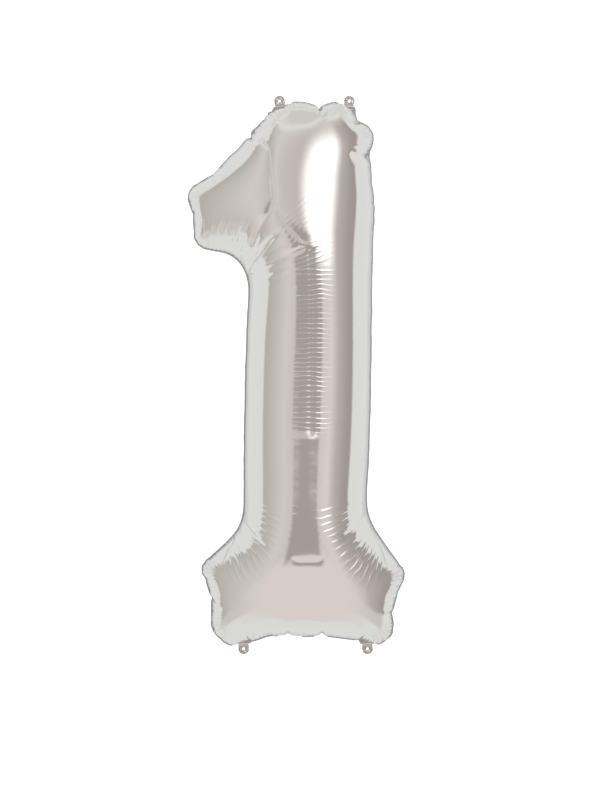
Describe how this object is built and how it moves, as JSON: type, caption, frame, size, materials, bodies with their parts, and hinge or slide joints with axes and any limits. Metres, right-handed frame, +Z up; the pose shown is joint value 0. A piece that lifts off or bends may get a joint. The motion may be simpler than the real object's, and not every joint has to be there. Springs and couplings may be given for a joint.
{
  "type": "foil number balloon",
  "caption": "Inflated foil balloon in the shape of the digit one, two sealed sheets with punched hanging tabs and a self-sealing valve.",
  "frame": {"origin": "midway between the two upper tab holes, which the balloon hangs by", "axes": "+Z up, -Y towards the viewer who reads the digit, +X to that viewer's right"},
  "size_m": [0.3497, 0.2064, 0.887],
  "materials": {
    "foil": "vacuum-metallised film, mirror bright",
    "tab_foil": "vacuum-metallised film, two layers heat-sealed, slightly crazed",
    "valve_film": "translucent polyethylene film"
  },
  "bodies": {
    "envelope": {"front_panel": "foil", "back_panel": "foil", "valve_back_film": "valve_film", "valve_front_film": "valve_film"},
    "tab_top_left": {"hanging_tab_top_left": "tab_foil"},
    "tab_top_right": {"hanging_tab_top_right": "tab_foil"},
    "tab_bottom_left": {"hanging_tab_bottom_left": "tab_foil"},
    "tab_bottom_right": {"hanging_tab_bottom_right": "tab_foil"}
  },
  "joints": [
    {"name": "tab_top_left_fold", "type": "hinge", "parent": "envelope", "child": "tab_top_left", "pos_m": [-0.05441, 0, -0.00773], "axis": [0.9907, 0, 0.1357], "range_deg": [-70, 70], "stiffness_Nm_per_rad": 0.0001},
    {"name": "tab_top_right_fold", "type": "hinge", "parent": "envelope", "child": "tab_top_right", "pos_m": [0.05441, 0, -0.00773], "axis": [0.9907, 0, -0.1357], "range_deg": [-70, 70], "stiffness_Nm_per_rad": 0.0001},
    {"name": "tab_bottom_left_fold", "type": "hinge", "parent": "envelope", "child": "tab_bottom_left", "pos_m": [-0.11264, 0, -0.8622], "axis": [-0.9986, 0, -0.0523], "range_deg": [-70, 70], "stiffness_Nm_per_rad": 0.0001},
    {"name": "tab_bottom_right_fold", "type": "hinge", "parent": "envelope", "child": "tab_bottom_right", "pos_m": [0.08396, 0, -0.8622], "axis": [-0.9986, 0, -0.0523], "range_deg": [-70, 70], "stiffness_Nm_per_rad": 0.0001}
  ]
}
